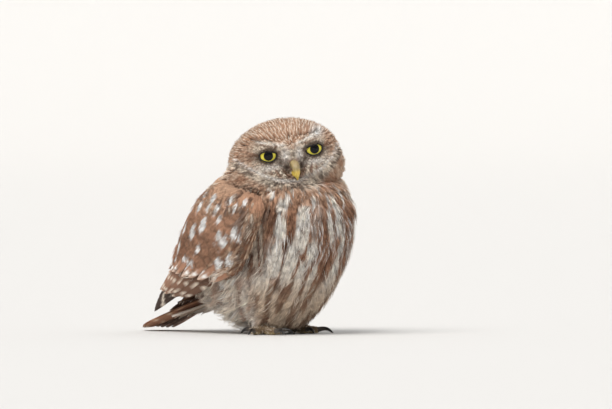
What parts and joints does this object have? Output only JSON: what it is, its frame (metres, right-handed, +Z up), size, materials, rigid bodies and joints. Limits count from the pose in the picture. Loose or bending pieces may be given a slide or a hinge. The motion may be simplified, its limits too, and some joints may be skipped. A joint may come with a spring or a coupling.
{
  "type": "owl model",
  "caption": "Life-size still model of a small round-headed owl at rest on its feet, head turned aside, wings folded, tail laid on the floor.",
  "frame": {"origin": "on the floor, under the middle of the model's bounding box", "axes": "+Z up; the body faces -Y and its right wing is on -X; the head is turned towards -X"},
  "size_m": [0.1066, 0.1647, 0.1382],
  "materials": {
    "breast_plumage": "soft matt feather",
    "back_plumage": "matt feather",
    "head_plumage": "soft matt feather",
    "eye_gloss": "wet gloss",
    "bill_horn": "satin horn",
    "foot_skin": "dry scaly skin with short bristly feathers",
    "claw_horn": "satin horn"
  },
  "bodies": {
    "root": {"bill_lower": "bill_horn", "bill_upper": "bill_horn", "claw_left_hind": "claw_horn", "claw_left_inner": "claw_horn", "claw_left_middle": "claw_horn", "claw_left_outer": "claw_horn", "claw_right_hind": "claw_horn", "claw_right_inner": "claw_horn", "claw_right_middle": "claw_horn", "claw_right_outer": "claw_horn", "eye_left": "eye_gloss", "eye_right": "eye_gloss", "foot_left": "foot_skin", "foot_right": "foot_skin", "head": "head_plumage", "leg_left": "breast_plumage", "leg_right": "breast_plumage", "tail": "back_plumage", "torso": "breast_plumage", "wing_left": "back_plumage", "wing_right": "back_plumage"}
  },
  "joints": []
}
